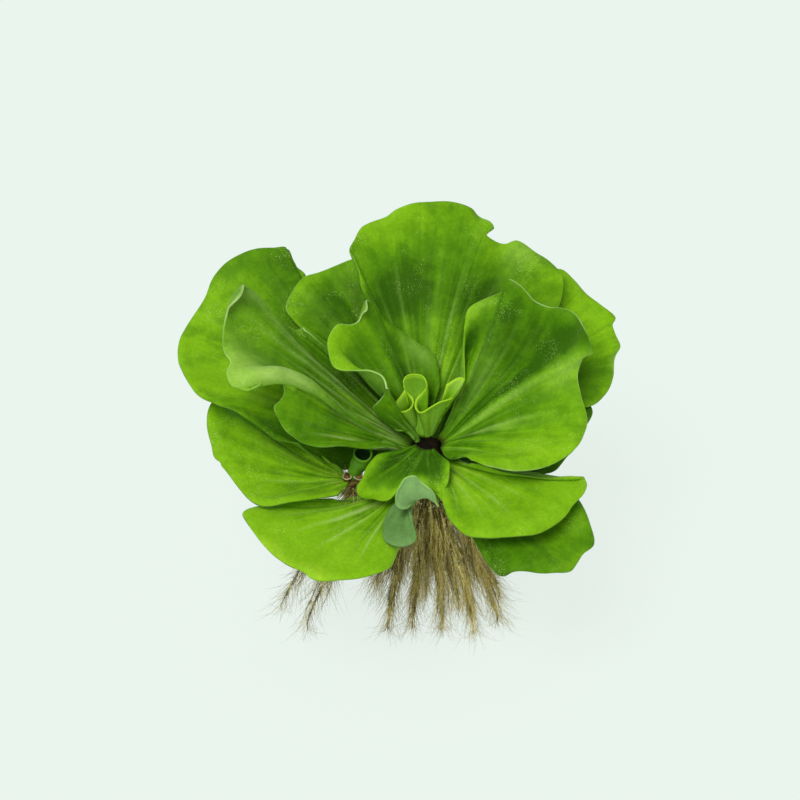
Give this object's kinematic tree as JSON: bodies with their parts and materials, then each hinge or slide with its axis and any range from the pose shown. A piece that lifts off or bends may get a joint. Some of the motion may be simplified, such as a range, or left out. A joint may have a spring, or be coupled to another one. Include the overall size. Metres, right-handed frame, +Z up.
{
  "type": "water lettuce plant",
  "caption": "Whole water lettuce as picked: an open rosette of fan-shaped, ribbed, velvety leaves on a short crown, with a small offset on a runner and a beard of feathery roots it rests on.",
  "frame": {"origin": "the middle of the flat foot of the centre root, on the surface the plant stands on, straight under the middle of the crown", "axes": "+Z up, +Y to the plant's back, where the tallest leaves stand, and +X to the right as seen from the front"},
  "size_m": [0.1542, 0.1113, 0.1432],
  "materials": {
    "fresh_leaf": "velvety, yellow-green, ribbed with pale veins",
    "shaded_leaf": "velvety, darker green",
    "leaf_underside": "matt, pale grey-green",
    "crown_tissue": "rough, dark brown, damp",
    "root_fibre": "fibrous, brown strands with tan side hairs"
  },
  "bodies": {
    "root": {"leaf_back_tall": "fresh_leaf", "leaf_back_right": "fresh_leaf", "leaf_right_inner": "fresh_leaf", "leaf_back_left": "fresh_leaf", "leaf_left_inner": "fresh_leaf", "leaf_centre_left": "fresh_leaf", "leaf_heart": "fresh_leaf", "leaf_left_low": "fresh_leaf", "leaf_front_left_low": "fresh_leaf", "leaf_front_right": "fresh_leaf", "leaf_back_mid": "shaded_leaf", "leaf_front_small": "shaded_leaf", "leaf_front_right_low": "shaded_leaf", "leaf_right_low": "shaded_leaf", "leaf_under_back": "shaded_leaf", "leaf_under_left": "shaded_leaf", "offset_sheath": "shaded_leaf", "leaf_front_curl": "leaf_underside", "leaf_front_droop": "leaf_underside", "crown": "crown_tissue", "offset_crown": "crown_tissue", "stolon": "crown_tissue", "root_centre": "root_fibre", "root_front_left": "root_fibre", "root_front_mid_left": "root_fibre", "root_front_mid_right": "root_fibre", "root_front_right": "root_fibre", "root_front_far_right": "root_fibre", "root_right": "root_fibre", "root_right_out": "root_fibre", "root_back_right": "root_fibre", "root_back": "root_fibre", "root_back_left": "root_fibre", "root_left": "root_fibre", "offset_root_far": "root_fibre", "offset_root_mid": "root_fibre", "offset_root_near": "root_fibre"}
  },
  "joints": []
}
